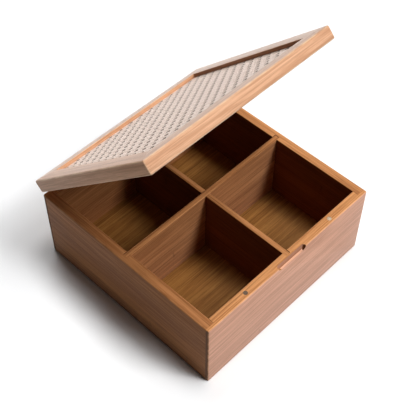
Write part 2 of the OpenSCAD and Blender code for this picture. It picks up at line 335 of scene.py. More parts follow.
def facing(part):
    """1 where a face looks straight along an axis, falling to 0 at 68 degrees from it."""
    return np.clip(part * 1.6 - 0.6, 0, 1)


def finish_board(obj, node, body, finish, along, across, number, tones=(0, 0, 0), side=0,
                 wide=None):
    """Writes the board's own grain coordinates, marks end grain, eased edges and the board's tone,
    gives it its finish, and puts it on its body. Grain is (along, across, through) in metres,
    shifted by the board's number, so no two boards look alike. tones are the board's own tone and
    what its outer and its inner face, across the axis wide, add to it. Above 0 makes a face paler,
    which is a painted sheen. Below 0 makes it darker, partly the board's own tone and partly
    painted shade on faces turned from the lamps. side tells which face is the outer one of a board
    that stands in the middle."""
    mesh = obj.data
    co = read_values(mesh.vertices, "co")
    rng = np.random.default_rng(bpy.context.scene.stage_settings.board_seed + number)
    grain = co[:, [along, across, 3 - along - across]] + rng.uniform(0.5, 9.0, 3)
    mesh.attributes.new("grain", "FLOAT_VECTOR", "POINT").data.foreach_set("vector", grain.ravel())
    if body == "lid":
        mesh.vertices.foreach_set("co", swung(co, LID_OPEN).ravel())
    mesh.update()
    normal = read_values(mesh.polygons, "normal")
    if body == "lid":
        normal = swung(normal + PIVOT, -LID_OPEN) - PIVOT
    size = np.abs(normal)
    wide = 3 - along - across if wide is None else wide
    outward = (side or np.sign(co[:, wide].mean())) * normal[:, wide]
    tone, outer, inner = tones
    # A positive tone is a painted sheen. A negative tone is partly the board's own darker tone and
    # partly painted shade.
    tone = tone + facing(outward) * outer + facing(-outward) * inner
    for name, values in (("end_grain", size[:, along] > 0.8),
                         ("eased", np.clip((0.998 - size.max(1)) / 0.05, 0, 1)),
                         ("painted_sheen", np.clip(tone, 0, 1)), ("stain_and_shade", np.clip(-tone, 0, 1))):
        layer = mesh.attributes.new(name, "FLOAT", "FACE").data
        layer.foreach_set("value", values.astype(float))
    smooth_faces(mesh, 24)
    mesh.materials.clear()
    mesh.materials.append(bpy.data.materials[finish])
    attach(obj, body)
    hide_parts(node)


def set_inputs(tree, item, inputs):
    """Links a node's inputs, by name or number, to sockets, or sets them to plain values."""
    for key, value in inputs.items():
        if isinstance(value, bpy.types.NodeSocket):
            tree.links.new(value, item.inputs[key])
        else:
            item.inputs[key].default_value = value


def add_node(tree, kind, inputs, **settings):
    """A shader node with its settings and its inputs."""
    item = tree.nodes.new(kind)
    for key, value in settings.items():
        setattr(item, key, value)
    set_inputs(tree, item, inputs)
    return item


def math_node(tree, operation, a, b=None, clamp=False):
    """A Math node of one operation; its result socket."""
    values = {0: a} if b is None else {0: a, 1: b}
    item = add_node(tree, "ShaderNodeMath", values, operation=operation, use_clamp=clamp)
    return item.outputs[0]


def times(tree, a, b):
    """The product of two values; its socket."""
    return math_node(tree, "MULTIPLY", a, b)


def ramp(tree, value, low, high, to_low=0.0, to_high=1.0):
    """Smooth step from one value to another; its result socket."""
    item = add_node(tree, "ShaderNodeMapRange", {"Value": value, "From Min": low, "From Max": high,
                                                 "To Min": to_low, "To Max": to_high},
                    interpolation_type="SMOOTHSTEP")
    return item.outputs["Result"]


def blend(tree, factor, a, b, mode="MIX"):
    """A Mix node for colours; its result socket."""
    item = add_node(tree, "ShaderNodeMix", {0: factor, 6: a, 7: b}, data_type="RGBA",
                    blend_type=mode)
    return item.outputs[2]


def noise(tree, vector, stretch, detail, rough):
    """Noise texture on the vector times stretch, which is in waves per metre; its value socket."""
    place = add_node(tree, "ShaderNodeVectorMath", {0: vector, 1: stretch}, operation="MULTIPLY")
    item = add_node(tree, "ShaderNodeTexNoise", {"Vector": place.outputs[0], "Scale": 1.0,
                                                 "Detail": detail, "Roughness": rough},
                    noise_dimensions="3D")
    return item.outputs["Fac"]


def attribute(tree, name, output):
    """An attribute of the mesh; its Vector or Fac socket."""
    return add_node(tree, "ShaderNodeAttribute", {}, attribute_name=name).outputs[output]


def bump(tree, height, strength, distance):
    """A Bump node; its normal socket."""
    item = add_node(tree, "ShaderNodeBump", {"Strength": strength, "Distance": distance,
                                             "Height": height})
    return item.outputs[0]


def seen_directly(tree):
    """1 where the camera, a reflection or glass looks, 0 where light is gathered."""
    path = tree.nodes.new("ShaderNodeLightPath").outputs
    seen = math_node(tree, "MAXIMUM", path["Is Camera Ray"], path["Is Glossy Ray"])
    return math_node(tree, "MAXIMUM", seen, path["Is Transmission Ray"])


def new_group(name, inputs, outputs):
    """An empty shader group with its input and output node. It takes the vector Grain and numbers
    with these defaults, and it gives numbers."""
    group = bpy.data.node_groups.new(name, "ShaderNodeTree")
    sockets = group.interface.new_socket
    sockets(name="Grain", in_out="INPUT", socket_type="NodeSocketVector")
    for label, default in inputs.items():
        item = sockets(name=label, in_out="INPUT", socket_type="NodeSocketFloat")
        item.default_value = default
    for label in outputs:
        sockets(name=label, in_out="OUTPUT", socket_type="NodeSocketFloat")
    given = group.nodes.new("NodeGroupInput").outputs
    return group, given, group.nodes.new("NodeGroupOutput")


def strip_group():
    """Laminated bamboo: strips side by side with their own tone, glue lines between them, long
    streaks, fine dark fibres along the grain, and a wavy node across each strip now and then."""
    group, given, result = new_group(
        "bamboo_strips", {"Strip Width": 0.007, "Node Distance": 0.85},
        ("Tone", "Streak", "Fibre", "Glue Line", "Node Mark", "Height"))
    grain, distance = given["Grain"], given["Node Distance"]
    split = add_node(group, "ShaderNodeSeparateXYZ", {0: grain}).outputs
    place = math_node(group, "DIVIDE", split[1], given["Strip Width"])
    index = math_node(group, "FLOOR", place)
    part = math_node(group, "FRACT", place)
    tone, start = (add_node(group, "ShaderNodeTexWhiteNoise", {"W": seed},
                            noise_dimensions="1D").outputs["Value"]
                   for seed in (index, math_node(group, "ADD", index, 0.37)))
    # Glue line: the outer 2.5% of a strip.
    edge = math_node(group, "ABSOLUTE", math_node(group, "SUBTRACT", part, 0.5))
    line = ramp(group, edge, 0.475, 0.497)
    streak = noise(group, grain, (11, 400, 400), 4, 0.75)
    fine = noise(group, grain, (14, 1150, 1150), 2, 0.6)
    dash = noise(group, grain, (130, 2600, 2600), 1, 0.5)
    fibre = math_node(group, "ADD", ramp(group, fine, 0.50, 0.74),
                      ramp(group, dash, 0.60, 0.76, 0, 0.6), clamp=True)
    # Node: one in each length of the node distance, at another place in every strip.
    wave = times(group, noise(group, grain, (30, 420, 420), 2, 0.6), 0.006)
    run = math_node(group, "DIVIDE", math_node(group, "ADD", split[0], wave), distance)
    run = math_node(group, "FRACT", math_node(group, "ADD", run, times(group, start, 7.3)))
    off = math_node(group, "ABSOLUTE", math_node(group, "SUBTRACT", run, 0.5))
    off = times(group, off, distance)
    mark = ramp(group, off, 0.0004, 0.0015, 1, 0)
    swelling = times(group, ramp(group, off, 0.002, 0.012, 1, 0), 0.25)
    sunk = math_node(group, "ADD", times(group, fibre, 0.6), times(group, line, 0.4))
    height = math_node(group, "SUBTRACT", swelling, sunk)
    set_inputs(group, result, {"Tone": tone, "Streak": streak, "Fibre": fibre, "Glue Line": line,
                               "Node Mark": mark, "Height": height})


def wear_and_highlight_group():
    """Eased edges made paler in patches, partly worn by handling and partly a painted highlight
    along the edges, and soft blotches over the whole board.
    """
    group, given, result = new_group("wear_and_highlight_edges", {"Eased": 0.0}, ("Wear_And_Highlight", "Blotch"))
    patch = noise(group, given["Grain"], (60, 160, 160), 3, 0.6)
    wear_and_highlight = times(group, given["Eased"], ramp(group, patch, 0.35, 0.62))
    blotch = noise(group, given["Grain"], (18, 34, 34), 2, 0.5)
    set_inputs(group, result, {"Wear_And_Highlight": wear_and_highlight, "Blotch": blotch})


def new_material(name):
    """A material with nothing but its output and a Principled shader; its tree and that shader."""
    material = bpy.data.materials.new(name)
    material.use_nodes = True
    tree = material.node_tree
    tree.nodes.clear()
    output = tree.nodes.new("ShaderNodeOutputMaterial")
    shader = tree.nodes.new("ShaderNodeBsdfPrincipled")
    tree.links.new(shader.outputs[0], output.inputs[0])
    return tree, shader


def shade(colour, factor):
    """A colour times a number, as RGBA."""
    return tuple(min(1, c * factor) for c in colour) + (1,)


def bamboo_material(name, colour, strip_width, contrast, rough, sheen, gloss, painted_sheen_tint):
    """Bamboo from the two groups, with its own colour, strip width, contrast, sheen and lacquer.
    Its layers are strips, blotches, fibres, glue lines, nodes, end grain and paler eased edges,
    which are partly worn and partly a painted highlight. Where a face is marked dark it turns dark,
    partly real staining and partly painted shade. Where it is marked pale it turns calmer and is
    multiplied by the last argument's tint, which is a painted sheen."""
    tree, shader = new_material(name)
    grain = attribute(tree, "grain", "Vector")
    strip = add_node(tree, "ShaderNodeGroup", {"Grain": grain, "Strip Width": strip_width},
                     node_tree=bpy.data.node_groups["bamboo_strips"]).outputs
    worn_and_highlit = add_node(tree, "ShaderNodeGroup",
                      {"Grain": grain, "Eased": attribute(tree, "eased", "Fac")},
                      node_tree=bpy.data.node_groups["wear_and_highlight_edges"]).outputs
    blotch = worn_and_highlit["Blotch"]
    redder = (colour[0] * 0.86, colour[1] * 0.74, colour[2] * 0.66)
    base = blend(tree, ramp(tree, strip["Streak"], 0.38, 0.62),
                 shade(redder, 1 - 0.16 * contrast), shade(colour, 1.10))
    layers = ((ramp(tree, strip["Tone"], 0, 1, 0, 0.32 * contrast), shade(redder, 0.74)),
              (ramp(tree, blotch, 0.35, 0.7, 0, 0.16 * contrast), shade(colour, 1.22)),
              (times(tree, strip["Fibre"], 0.50 * contrast), shade(redder, 0.42)),
              (times(tree, strip["Glue Line"], 0.36 * contrast), shade(redder, 0.45)),
              (times(tree, strip["Node Mark"], 0.4), shade(redder, 0.40)),
              (times(tree, attribute(tree, "end_grain", "Fac"), 0.95), shade(redder, 0.28)),
              # Paler eased edges: partly worn, partly a painted highlight.
              (times(tree, worn_and_highlit["Wear_And_Highlight"], 0.42), shade(colour, 1.6)))
    for factor, over in layers:
        base = blend(tree, factor, base, over)
    # Darker where marked: partly real staining, partly painted shade.
    dark = blend(tree, 1.0, base, (0.30, 0.19, 0.11, 1), "MULTIPLY")
    base = blend(tree, attribute(tree, "stain_and_shade", "Fac"), base, dark)
    # Paler where marked: a painted sheen of faces lit or seen at a grazing angle.
    calm = blend(tree, 0.45, base, shade(colour, 0.86))
    pale = blend(tree, 1.0, calm, painted_sheen_tint + (1,), "MULTIPLY")
    base = blend(tree, attribute(tree, "painted_sheen", "Fac"), base, pale)
    roughness = math_node(tree, "ADD", times(tree, strip["Fibre"], 0.14),
                          ramp(tree, blotch, 0.3, 0.7, rough - 0.04, rough + 0.04))
    set_inputs(tree, shader, {"Base Color": base, "Roughness": roughness,
                              "Specular IOR Level": gloss, "Sheen Weight": sheen,
                              "Sheen Roughness": 0.35,
                              "Normal": bump(tree, strip["Height"], 0.35, 0.00012)})


def cane_material(name, colour):
    """Cane bark: long fine lines along the strand, a slow change of tone from strand to strand,
    and darker edges where the bark was split."""
    tree, shader = new_material(name)
    run = attribute(tree, "strand", "Vector")
    split = add_node(tree, "ShaderNodeSeparateXYZ", {0: run})
    lines = noise(tree, run, (60, 4200, 10), 2, 0.6)
    slow = noise(tree, run, (22, 0, 13), 2, 0.5)
    edge = math_node(tree, "ABSOLUTE", split.outputs[1])
    brown = (colour[0] * 0.92, colour[1] * 0.74, colour[2] * 0.58)
    base = blend(tree, ramp(tree, slow, 0.35, 0.68, 0, 0.14), shade(colour, 1.04),
                 shade(brown, 1.0))
    base = blend(tree, ramp(tree, lines, 0.50, 0.72, 0, 0.14), base, shade(brown, 0.72))
    base = blend(tree, ramp(tree, edge, 0.00095, 0.0012, 0, 0.3), base, shade(brown, 0.6))
    set_inputs(tree, shader, {"Base Color": base,
                              "Roughness": ramp(tree, lines, 0.3, 0.7, 0.30, 0.45),
                              "Sheen Weight": 1.0, "Sheen Roughness": 0.4,
                              "Sheen Tint": (1.0, 0.82, 0.75, 1),
                              "Normal": bump(tree, lines, 0.3, 0.00008)})


def metal_material(name, colour, rough, grain_scale):
    """Plated or solid metal with fine drawn lines and faint tarnish."""
    tree, shader = new_material(name)
    place = tree.nodes.new("ShaderNodeTexCoord").outputs["Object"]
    lines = noise(tree, place, (grain_scale, grain_scale * 18, grain_scale * 18), 2, 0.6)
    cloud = noise(tree, place, (420, 420, 420), 3, 0.6)
    dull = (colour[0] * 0.62, colour[1] * 0.55, colour[2] * 0.5)
    base = blend(tree, ramp(tree, cloud, 0.42, 0.7, 0, 0.7), shade(colour, 1.0), shade(dull, 1.0))
    set_inputs(tree, shader, {"Base Color": base, "Metallic": 1.0,
                              "Roughness": ramp(tree, lines, 0.3, 0.7, rough - 0.07, rough + 0.1),
                              "Normal": bump(tree, lines, 0.2, 0.00004)})


class BOX_OT_make_finishes(bpy.types.Operator):
    """Makes the shader groups and the materials"""
    bl_idname = "bamboo_box.make_finishes"
    bl_label = "Make Finishes"

    def execute(self, context):
        colours = context.scene.finish_colours
        box, lid = tuple(colours.bamboo), tuple(colours.bamboo_lid)
        floor = tuple(colours.bamboo_floor)
        strip_group()
        wear_and_highlight_group()
        for values in (
                ("bamboo_caramel", box, 0.0078, 1.3, 0.46, 0.20, 0.06, (1.28, 1.53, 2.70)),
                ("bamboo_pale", lid, 0.0085, 0.8, 0.36, 0.48, 0.04, (1.12, 1.36, 1.72)),
                ("bamboo_olive", floor, 0.0052, 1.5, 0.52, 0.08, 0.15, (1.2, 1.3, 1.6)),
                ("bamboo_raw", floor, 0.0052, 1.5, 0.85, 0.0, 0.02, (1.2, 1.3, 1.6))):
            bamboo_material(*values)
        cane_material("cane_bark", tuple(colours.cane))
        metal_material("magnet_nickel", tuple(colours.steel), 0.42, 900)
        # The left magnet's darker copy of the metal: painted shade.
        metal_material("magnet_dull", tuple(colours.shaded_magnet_steel), 0.48, 900)
        metal_material("hinge_brass", tuple(colours.brass), 0.30, 700)
        return {"FINISHED"}


class BOX_OT_add_stage(bpy.types.Operator):
    """Adds the camera, the soft lamps, the sky and the pale floor"""
    bl_idname = "bamboo_box.add_stage"
    bl_label = "Add Stage"

    def execute(self, context):
        scene = context.scene
        settings = scene.stage_settings
        scene.view_settings.view_transform = "Standard"
        camera = bpy.data.objects.new("camera", bpy.data.cameras.new("camera"))
        scene.collection.objects.link(camera)
        camera.data.sensor_width = 36
        camera.data.lens = settings.lens
        camera.matrix_world = Matrix.Translation(CAMERA_PLACE) @ Matrix(CAMERA_AXES).to_4x4()
        scene.camera = camera
        for k, (toward, share) in enumerate(SOFTBOXES):
            lamp = bpy.data.lights.new(f"softbox_{k}", "SUN")
            lamp.energy = settings.key * share
            lamp.angle = math.radians(17)
            holder = bpy.data.objects.new(f"softbox_{k}", lamp)
            holder.matrix_world = Vector(toward).to_track_quat("Z", "Y").to_matrix().to_4x4()
            scene.collection.objects.link(holder)
        self.add_sky(scene, settings.sky)
        self.add_floor()
        return {"FINISHED"}

    def add_sky(self, scene, strength):
        """White where the camera or a reflection looks, dim where it lights the object."""
        world = bpy.data.worlds.new("studio")
        world.use_nodes = True
        tree = world.node_tree
        tree.nodes.clear()
        level = add_node(tree, "ShaderNodeMapRange", {"Value": seen_directly(tree),
                                                      "To Min": strength, "To Max": 1.0})
        sky = add_node(tree, "ShaderNodeBackground", {"Color": (1, 1, 1, 1),
                                                      "Strength": level.outputs[0]})
        output = tree.nodes.new("ShaderNodeOutputWorld")
        tree.links.new(sky.outputs[0], output.inputs[0])
        scene.world = world

    def add_floor(self):
        """Round white floor: radius r and turn a on a polar grid, a whole ring at a time, a
        little below the ground so that it doesn't meet the underside."""
        rings, count = 14, 96
        r = 3.0 * (np.arange(1, rings + 1) / rings) ** 2
        a = np.arange(count) * math.tau / count
        co = np.stack([np.outer(r, np.cos(a)), np.outer(r, np.sin(a)), np.zeros((rings, count))], 2)
        co = np.concatenate([[(0, 0, 0)], co.reshape(-1, 3)])
        co[:, 2] = -0.00002
        at = np.arange(count)
        nxt = (at + 1) % count
        faces = np.stack([np.zeros(count, int), at + 1, nxt + 1], 1).tolist()
        for k in range(rings - 1):
            p, q = 1 + k * count, 1 + (k + 1) * count
            faces += np.stack([p + at, q + at, q + nxt, p + nxt], 1).tolist()
        floor = mesh_object("studio_floor", co, faces)
        tree, shader = new_material("studio_white")
        base = blend(tree, seen_directly(tree), (0.50, 0.50, 0.50, 1), (0.98, 0.99, 1, 1))
        set_inputs(tree, shader, {"Base Color": base, "Roughness": 0.9,
                                  "Specular IOR Level": 0.0})
        floor.data.materials.append(bpy.data.materials["studio_white"])


def end_wall(sizes, side):
    """Wall across the whole width, with a tongue at both ends; side is -1 in front, 1 behind."""
    w, d, t = HALF_W, HALF_D, WALL_T
    inner, k = w - t, sizes.tongue
    e, i, j = sizes.ease, sizes.inner_ease, sizes.joint_ease
    plan = [(-w, -d), (w, -d), (w, -d + k), (inner, -d + k), (inner, -d + t), (-inner, -d + t),
            (-inner, -d + k), (-w, -d + k)]
    low = [e, e, j, j, j, j, j, e]
    high = [e, e, j, j, i, j, j, e]
    rounding = [e, e, j, 0, j, j, 0, j]
    name = "front_wall_board" if side < 0 else "back_wall_board"
    wall = eased_prism(name, plan, low, high, rounding, 0, BOX_H)
    if side > 0:
        turn_about_z(wall, 180)
    return wall


def floor_groove():
    """Block that cuts the groove for the floor board's tongue."""
    w, d = INNER_W + FLOOR_TONGUE, INNER_D + FLOOR_TONGUE
    return block(-w, w, -d, d, TONGUE_LOW - ROOM, TONGUE_HIGH + ROOM)


def housing_tool(sizes, along):
    """Block that cuts the housings at both ends of one divider."""
    t = sizes.divider / 2 + ROOM
    top = BOX_H + 10 * PAST
    if along == "x":
        w = INNER_W + sizes.housing
        return block(-w, w, -t, t, sizes.floor, top)
    d = INNER_D + sizes.housing
    return block(-t, t, -d, d, sizes.floor, top)


def circle_run(cx, cy, radius, start, stop, count):
    """Points c + r (cos a, sin a) from one angle to another, in degrees."""
    a = np.radians(np.linspace(start, stop, count))
    return np.stack([cx + radius * np.cos(a), cy + radius * np.sin(a)], 1)


def notch_tool(sizes):
    """The scoop: a round bar along the edge, trimmed to round ends. Seen from the front, an end is
    an arc of radius end_r that reaches the notch's length at the rim. Seen from above, the back
    corners have the radius plan_r."""
    half, r = sizes.notch / 2, sizes.notch_depth
    end_r, plan_r, far = 6 * MM, 3 * MM, 9 * MM
    flat = half - math.sqrt(r * (2 * end_r - r))
    y0, z1 = -HALF_D, BOX_H
    bar = prism_tool(circle_run(y0, z1, r, 0, 360, 49)[:-1], -half - PAST, half + PAST, (1, 2, 0))
    zc = z1 - r + end_r
    front = np.concatenate([circle_run(flat, zc, end_r, -90, 90, 25),
                            circle_run(-flat, zc, end_r, 90, 270, 25)])
    # The (x, z) points become a counter-clockwise (z, x) plan, which is laid along Y.
    trim = prism_tool(front[::-1, ::-1], y0 - far, y0 + far, (2, 0, 1))
    corner, yc = half - plan_r, y0 + r - plan_r
    top = np.concatenate([[(-half, y0 - far), (half, y0 - far)],
                          circle_run(corner, yc, plan_r, 0, 90, 9),
                          circle_run(-corner, yc, plan_r, 90, 180, 9)])
    above = prism_tool(top, z1 - far, z1 + far)
    combine(bar, [trim, above], "INTERSECT")
    return bar


def near_notch(co, sizes, margin):
    """Which of the points are in the finger notch or closer to it than the margin."""
    reach = sizes.notch_depth + margin
    return ((np.abs(co[:, 0]) < sizes.notch / 2 + margin) & (co[:, 1] < reach - HALF_D)
            & (co[:, 2] > BOX_H - reach))


def ease_notch(front, sizes):
    """Eases the sharp edges round the finger notch with a small bevel."""
    mesh = front.data
    near = near_notch(read_values(mesh.vertices, "co"), sizes, 0.1 * MM)
    bm = bmesh.new()
    bm.from_mesh(mesh)
    weight = bm.edges.layers.float.new("bevel_weight_edge")
    for edge in bm.edges:
        if all(near[v.index] for v in edge.verts) and edge.calc_face_angle(0) > 0.45:
            edge[weight] = 1.0
    bm.to_mesh(mesh)
    bm.free()
    bevel = front.modifiers.new("ease", "BEVEL")
    bevel.limit_method = "WEIGHT"
    bevel.width = 0.4 * MM
    bevel.segments = 2
    apply_modifiers(front)


def tone_notch(front, sizes):
    """Tones of the finger notch: its steep back is dark, and its ends show end grain. The right end
    is darkest because it faces away from the lamps, which is painted shade. Its sill is paler than
    the back, a painted highlight on the notch's lip."""
    mesh = front.data
    middle = read_values(mesh.polygons, "center")
    normal = read_values(mesh.polygons, "normal")
    near = near_notch(middle, sizes, 0.3 * MM) & (normal[:, 2] < 0.9999) & (normal[:, 1] > -0.9999)
    ends = near & (np.abs(normal[:, 0]) > 0.22)
    back = near & ~ends & (normal[:, 2] < 0.87) & (middle[:, 1] + HALF_D > 0.45 * MM)
    sill = near & ~ends & ~back
    # Ends that face -X, away from the lamps, get the full dark tone: painted shade.
    shaded = np.where(normal[:, 0] < 0, 1.0, 0.45)
    # The sill's paler tone and eased mark are a painted highlight on the lip.
    for name, where, value in (("stain_and_shade", back, 0.95), ("stain_and_shade", ends, shaded),
                               ("end_grain", ends, shaded), ("eased", sill, 0.5),
                               ("painted_sheen", sill, 0.8)):
        layer = mesh.attributes[name].data
        old = read_values(layer, "value", 1)[:, 0]
        layer.foreach_set("value", np.where(where, value, old))


def magnet_pockets(z0, z1):
    """Round tools for the two magnets in the front rim."""
    y = WALL_T / 2 - HALF_D
    return [round_tool(s * MAGNET_X, y, MAGNET_HOLE, z0, z1) for s in (-1, 1)]


def leaf_seats(z0, z1):
    """Blocks that cut the seats of the two hinge leaves, open to the back."""
    d = HALF_D
    return [block(s * HINGE_X - SEAT_HALF, s * HINGE_X + SEAT_HALF, d - SEAT_WIDTH, d + 5 * PAST,
                  z0, z1) for s in (-1, 1)]


def screw_holes(z0, z1):
    """Round tools for the four screws of two leaves."""
    y = HALF_D - SCREW_Y
    return [round_tool(s * HINGE_X + q * SCREW_X, y, SCREW_HOLE, z0, z1, 20)
            for s in (-1, 1) for q in (-1, 1)]


class BOX_OT_add_walls(bpy.types.Operator):
    """Adds the four walls with their rabbets, housings, grooves, notch and pockets"""
    bl_idname = "bamboo_box.add_walls"
    bl_label = "Add Walls"

    def execute(self, context):
        sizes = context.scene.board_sizes
        rim = BOX_H + PAST
        front = end_wall(sizes, -1)
        combine(front, [floor_groove(), housing_tool(sizes, "y"), notch_tool(sizes)])
        combine(front, magnet_pockets(BOX_H - MAGNET_DEPTH, rim))
        ease_notch(front, sizes)
        # The front face is made paler all over: a painted sheen of the lit front.
        finish_board(front, "front_wall", "box", "bamboo_caramel", 0, 2, 0, (0, 1, 0))
        tone_notch(front, sizes)
        back = end_wall(sizes, 1)
        combine(back, [floor_groove(), housing_tool(sizes, "y")])
        combine(back, leaf_seats(BOX_H - SEAT_DEPTH, rim))
        combine(back, screw_holes(BOX_H - SCREW_DEPTH, rim))
        # Its outer face is paler as painted sheen, its inner face darker as painted shade.
        finish_board(back, "back_wall", "box", "bamboo_caramel", 0, 2, 1,
                     (-0.2, 0.8, -0.1))
        # The left wall is darker, most on its outer face, partly its own tone and partly painted
        # shade on the side away from the lamps; the right wall's outer face is paler as painted
        # sheen and its inner face, turned from the lamps, darker as painted shade.
        sides = ((-1, "left_wall", (-0.42, -0.08, -0.1)), (1, "right_wall", (-0.26, 0.6, -0.74)))
        for k, (side, name, tones) in enumerate(sides):
            wall = self.side_wall(sizes, side, name)
            combine(wall, [floor_groove(), housing_tool(sizes, "x")])
            finish_board(wall, name, "box", "bamboo_caramel", 1, 2, 2 + k, tones)
        return {"FINISHED"}

    def side_wall(self, sizes, side, name):
        """Plain board between the end walls' tongues; side is -1 on the left, 1 on the right."""
        w, y = HALF_W, HALF_D - sizes.tongue
        e, i, j = sizes.ease, sizes.inner_ease, sizes.joint_ease
        wall = eased_prism(name + "_board", rectangle(w - WALL_T, -y, w, y), [j, e, j, j],
                           [j, e, j, i], j, 0, BOX_H)
        if side < 0:
            turn_about_z(wall, 180)
        return wall


class BOX_OT_add_floor_and_dividers(bpy.types.Operator):
    """Adds the floor board and the two half-lapped dividers"""
    bl_idname = "bamboo_box.add_floor_and_dividers"
    bl_label = "Add Floor and Dividers"

    def execute(self, context):
        sizes = context.scene.board_sizes
        w, d = INNER_W, INNER_D
        j, t = sizes.joint_ease, sizes.divider / 2
        plan = rectangle(-w + ROOM, -d + ROOM, w - ROOM, d - ROOM)
        board = eased_prism("floor_board", plan, j, j, j, 0, sizes.floor)
        x, y = w + (FLOOR_TONGUE - ROOM), d + (FLOOR_TONGUE - ROOM)
        combine(board, [block(-x, x, -y, y, TONGUE_LOW, TONGUE_HIGH)], "UNION")
        finish_board(board, "floor_panel", "box", "bamboo_olive", 0, 1, 5)
        top, low = BOX_H - sizes.divider_drop, sizes.floor
        lap, s = (top + low) / 2, t + ROOM
        r = d + sizes.housing - ROOM
        upper = [(-r, low), (r, low), (r, top), (s, top), (s, lap), (-s, lap), (-s, top), (-r, top)]
        edge = [j, j, SOFT_EDGE, j, j, j, SOFT_EDGE, j]
        long = eased_prism("divider_front_to_back_board", upper, edge, edge,
                           [j, j, j, j, 0, 0, j, j], -t, t, (1, 2, 0))
        # Its face towards -X, away from the lamps, is made darker: painted shade.
        finish_board(long, "divider_front_to_back", "box", "bamboo_caramel", 1, 2, 6,
                     (-0.30, 0, -0.70), side=1)
        r = w + sizes.housing - ROOM
        lower = [(-r, low), (-s, low), (-s, lap), (s, lap), (s, low), (r, low), (r, top), (-r, top)]
        edge = [j, j, j, j, j, j, SOFT_EDGE, j]
        cross = eased_prism("divider_side_to_side_board", lower, edge, edge,
                            [j, j, 0, 0, j, j, j, j], -t, t, (0, 2, 1))
        finish_board(cross, "divider_side_to_side", "box", "bamboo_caramel", 0, 2, 7,
                     (-0.25, 0, 0))
        return {"FINISHED"}


class BOX_OT_add_lid_frame(bpy.types.Operator):
    """Adds the lid's four mitred rails and the backing panel"""
    bl_idname = "bamboo_box.add_lid_frame"
    bl_label = "Add Lid Frame"

    def execute(self, context):
        sizes, boards = context.scene.lid_sizes, context.scene.board_sizes
        # The rails' tops are paler as a painted sheen of the lid seen at a grazing angle; the inner
        # faces of the right and back rails, the walls of the recess, are darker: painted shade.
        rails = (("lid_front_rail", 0, HALF_D, (0.55, -0.45, 0)),
                 ("lid_right_rail", 90, HALF_W, (0.9, 0, -1.6)),
                 ("lid_back_rail", 180, HALF_D, (0.65, 0, -0.9)),
                 ("lid_left_rail", 270, HALF_W, (0.2, 0, -0.2)))
        depth = HALF_W - sizes.rail + sizes.groove
        panel_z, under = LID_Z + sizes.panel_z, LID_Z - PAST
        for k, (name, turn, out, tones) in enumerate(rails):
            rail = self.mitred_rail(name + "_board", sizes, boards, turn, out)
            combine(rail, [block(-depth, depth, -depth, depth, panel_z, LID_Z + LID_GROOVE_TOP)])
            if name == "lid_front_rail":
                combine(rail, magnet_pockets(under, LID_Z + MAGNET_DEPTH))
            if name == "lid_back_rail":
                combine(rail, leaf_seats(under, LID_Z + SEAT_DEPTH))
                combine(rail, screw_holes(under, LID_Z + SCREW_DEPTH))
            along = k % 2
            finish_board(rail, name, "lid", "bamboo_pale", along, 1 - along,
                         10 + k, tones, wide=1 - along)
        half, ease = depth - ROOM, 0.1 * MM
        panel = eased_prism("lid_backing_board", rectangle(-half, -half, half, half), ease, ease,
                            ease, panel_z, panel_z + sizes.panel)
        # The backing panel is made darker so that the holes in the cane look dark: painted shade.
        finish_board(panel, "lid_backing_panel", "lid", "bamboo_raw", 0, 1, 16,
                     (-0.45, -0.25, 0))
        return {"FINISHED"}

    def mitred_rail(self, name, sizes, boards, turn, out):
        """Bar along X with its outer edge on y = -out, both ends cut off along x + y = constant and
        its mirror image, a hair short of the corner, then turned about Z."""
        h, w, e = HALF_W, sizes.rail, boards.ease
        edge = [e, e, SOFT_EDGE, e]
        rail = eased_prism(name, rectangle(-h, -out, h, -out + w), edge, edge, [e, e, 0, 0],
                           LID_Z, LID_Z + sizes.thick)
        tip, far = h - 0.03 * MM, 5 * MM
        wedge = np.array([(tip + far, -out - far), (tip + 8 * far, -out - far),
                          (tip + 8 * far, -out + w + far), (tip - w - far, -out + w + far)])
        mirrored = wedge[::-1] * np.array([-1, 1])
        combine(rail, [prism_tool(k, LID_Z - far, LID_Z + sizes.thick + far)
                       for k in (wedge, mirrored)])
        turn_about_z(rail, turn)
        return rail


